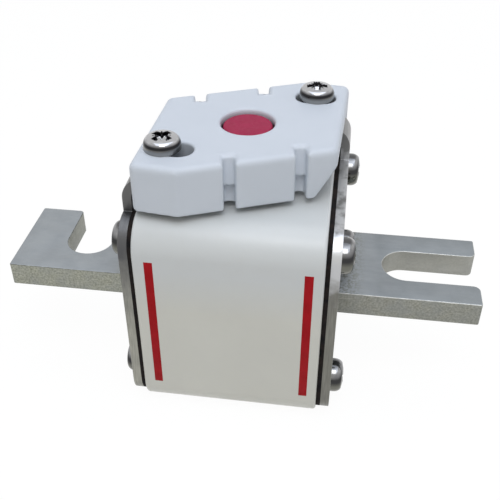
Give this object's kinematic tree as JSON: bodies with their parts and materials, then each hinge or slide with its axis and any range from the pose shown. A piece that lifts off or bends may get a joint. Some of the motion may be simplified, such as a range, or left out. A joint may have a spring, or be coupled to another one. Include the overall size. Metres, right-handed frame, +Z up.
{
  "type": "semiconductor fuse",
  "caption": "Square-bodied ceramic semiconductor fuse with slotted blade contacts, end plates and a moulded cover whose red indicator rises when the fuse blows.",
  "frame": {"origin": "middle of the underside of the ceramic body, under the middle of the whole fuse", "axes": "+X along the fuse to the blade whose slot is open at its end, +Y to the back, away from the face that the picture shows, +Z up through the indicator cover"},
  "size_m": [0.1122, 0.0524, 0.0682],
  "materials": {
    "body_ceramic": "smooth off-white ceramic, half gloss",
    "gasket_fibre": "black",
    "plate_steel": "nickel plated",
    "blade_plating": "matt silver plating on copper",
    "screw_steel": "bright nickel",
    "disc_copper": "bare copper",
    "element_silver": "bare silver strip",
    "sand": "packed quartz sand",
    "wire_alloy": "resistance wire",
    "cover_plastic": "white satin moulding",
    "cup_plastic": "white moulding",
    "spring_steel": "spring wire",
    "button_red": "crimson moulding"
  },
  "bodies": {
    "root": {"ceramic_body": "body_ceramic", "gasket_left": "gasket_fibre", "gasket_right": "gasket_fibre", "end_plate_left": "plate_steel", "end_plate_right": "plate_steel", "blade_left": "blade_plating", "blade_right": "blade_plating", "side_screws_left": "screw_steel", "side_screws_right": "screw_steel", "fill_plug": "screw_steel", "contact_disc_left": "disc_copper", "contact_disc_right": "disc_copper", "fuse_element_1": "element_silver", "fuse_element_2": "element_silver", "fuse_element_3": "element_silver", "fuse_element_4": "element_silver", "quartz_sand": "sand", "release_wire": "wire_alloy", "indicator_cover": "cover_plastic", "cover_screw_front": "screw_steel", "cover_screw_back": "screw_steel", "indicator_cup": "cup_plastic", "indicator_spring": "spring_steel"},
    "indicator": {"indicator_button": "button_red"}
  },
  "joints": [
    {"name": "indicator_rise", "type": "slide", "parent": "root", "child": "indicator", "axis": [0, 0, 1], "range_m": [0, 0.0055], "deforming": ["indicator_spring"]}
  ]
}
